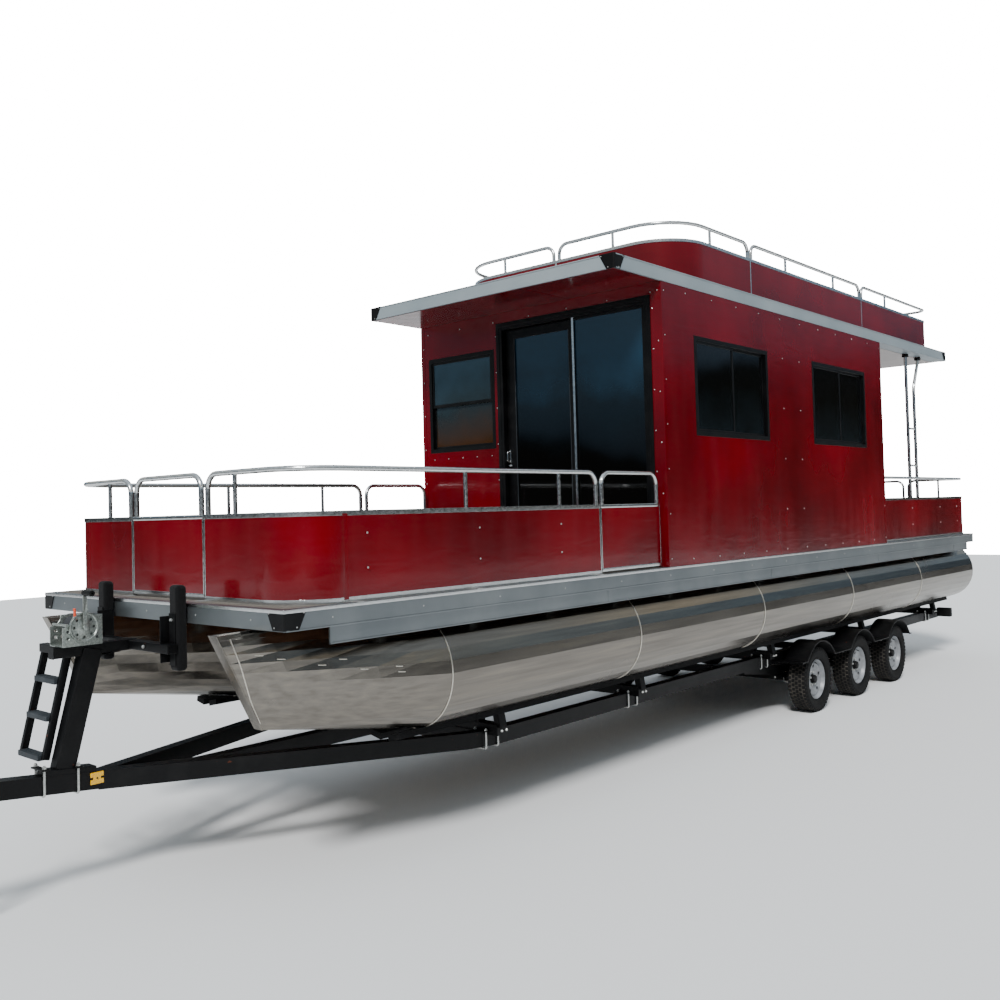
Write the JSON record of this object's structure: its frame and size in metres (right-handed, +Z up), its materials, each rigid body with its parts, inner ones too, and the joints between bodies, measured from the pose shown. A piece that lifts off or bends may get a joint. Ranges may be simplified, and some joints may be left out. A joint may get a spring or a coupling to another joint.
{
  "type": "trailered pontoon houseboat",
  "caption": "Pontoon houseboat with a cabin, patio door, railed bow and stern decks and a railed roof deck, resting on a three-axle bunk trailer.",
  "frame": {"origin": "centre of the footprint at ground level, under the trailer's tyres and jack foot", "axes": "+Z up, +Y aft along the boat with the bow at -Y, +X to port"},
  "size_m": [2.6046, 12.54, 4.29],
  "materials": {
    "black_steel": "satin black paint",
    "galvanised_steel": "zinc plated",
    "rubber": "moulded rubber",
    "white_steel": "white paint",
    "bunk_carpet": "carpet",
    "pontoon_aluminium": "mill finish",
    "red_panel": "gloss paint",
    "black_frame": "satin black",
    "rail_aluminium": "bright anodised",
    "trim_aluminium": "satin",
    "deck_board": "textured",
    "roof_panel": "satin"
  },
  "bodies": {
    "root": {"trailer_frame": "black_steel", "axle_1": "black_steel", "axle_2": "black_steel", "axle_3": "black_steel", "fender_port": "black_steel", "fender_starboard": "black_steel", "winch_stand": "black_steel", "tongue_jack": "galvanised_steel", "winch": "galvanised_steel", "bunk_port_outer": "bunk_carpet", "bunk_port_inner": "bunk_carpet", "bow_stop_port": "bunk_carpet", "pontoon_port": "pontoon_aluminium", "port_wall": "red_panel", "bow_fence_port": "red_panel", "stern_fence_port": "red_panel", "upper_fence_port": "red_panel", "port_window_fore": "black_frame", "port_window_aft": "black_frame", "roof_post_port": "rail_aluminium", "bunk_starboard_outer": "bunk_carpet", "bunk_starboard_inner": "bunk_carpet", "bow_stop_starboard": "bunk_carpet", "pontoon_starboard": "pontoon_aluminium", "starboard_wall": "red_panel", "bow_fence_starboard": "red_panel", "stern_fence_starboard": "red_panel", "upper_fence_starboard": "red_panel", "starboard_window_fore": "black_frame", "starboard_window_aft": "black_frame", "roof_post_starboard": "rail_aluminium", "deck_rim": "trim_aluminium", "deck_frame": "trim_aluminium", "deck": "deck_board", "front_wall": "red_panel", "aft_wall": "red_panel", "roof": "roof_panel", "front_window": "black_frame", "patio_door_frame": "black_frame", "roof_ladder": "rail_aluminium"},
    "wheel_port_1_body": {"wheel_port_1": "white_steel", "tyre_port_1": "rubber"},
    "wheel_port_2_body": {"wheel_port_2": "white_steel", "tyre_port_2": "rubber"},
    "wheel_port_3_body": {"wheel_port_3": "white_steel", "tyre_port_3": "rubber"},
    "wheel_starboard_1_body": {"wheel_starboard_1": "white_steel", "tyre_starboard_1": "rubber"},
    "wheel_starboard_2_body": {"wheel_starboard_2": "white_steel", "tyre_starboard_2": "rubber"},
    "wheel_starboard_3_body": {"wheel_starboard_3": "white_steel", "tyre_starboard_3": "rubber"},
    "patio_leaf_body": {"patio_door_leaf": "black_frame"},
    "aft_door_body": {"aft_door": "red_panel"},
    "bow_gate_body": {"bow_gate": "red_panel"},
    "stern_gate_body": {"stern_gate": "red_panel"},
    "port_gate_body": {"port_gate": "red_panel"},
    "starboard_gate_body": {"starboard_gate": "red_panel"}
  },
  "joints": [
    {"name": "wheel_port_1_spin", "type": "hinge", "parent": "root", "child": "wheel_port_1_body", "pos_m": [1.11, 1.73, 0.305], "axis": [1, 0, 0], "continuous": true},
    {"name": "wheel_port_2_spin", "type": "hinge", "parent": "root", "child": "wheel_port_2_body", "pos_m": [1.11, 2.73, 0.305], "axis": [1, 0, 0], "continuous": true},
    {"name": "wheel_port_3_spin", "type": "hinge", "parent": "root", "child": "wheel_port_3_body", "pos_m": [1.11, 3.73, 0.305], "axis": [1, 0, 0], "continuous": true},
    {"name": "wheel_starboard_1_spin", "type": "hinge", "parent": "root", "child": "wheel_starboard_1_body", "pos_m": [-1.11, 1.73, 0.305], "axis": [1, 0, 0], "continuous": true},
    {"name": "wheel_starboard_2_spin", "type": "hinge", "parent": "root", "child": "wheel_starboard_2_body", "pos_m": [-1.11, 2.73, 0.305], "axis": [1, 0, 0], "continuous": true},
    {"name": "wheel_starboard_3_spin", "type": "hinge", "parent": "root", "child": "wheel_starboard_3_body", "pos_m": [-1.11, 3.73, 0.305], "axis": [1, 0, 0], "continuous": true},
    {"name": "patio_door_slide", "type": "slide", "parent": "root", "child": "patio_leaf_body", "axis": [1, 0, 0], "range_m": [0, 0.645]},
    {"name": "aft_door_swing", "type": "hinge", "parent": "root", "child": "aft_door_body", "pos_m": [0.402, 3.338, 2.535], "axis": [0, 0, -1], "range_deg": [0, 100]},
    {"name": "bow_gate_swing", "type": "hinge", "parent": "root", "child": "bow_gate_body", "pos_m": [0.39, -4.302, 1.835], "axis": [0, 0, 1], "range_deg": [-90, 0]},
    {"name": "stern_gate_swing", "type": "hinge", "parent": "root", "child": "stern_gate_body", "pos_m": [0.52, 6.106, 1.835], "axis": [0, 0, 1], "range_deg": [0, 90]},
    {"name": "port_gate_swing", "type": "hinge", "parent": "root", "child": "port_gate_body", "pos_m": [1.212, -1.78, 1.835], "axis": [0, 0, 1], "range_deg": [0, 90]},
    {"name": "starboard_gate_swing", "type": "hinge", "parent": "root", "child": "starboard_gate_body", "pos_m": [-1.212, -1.78, 1.835], "axis": [0, 0, 1], "range_deg": [-90, 0]}
  ]
}
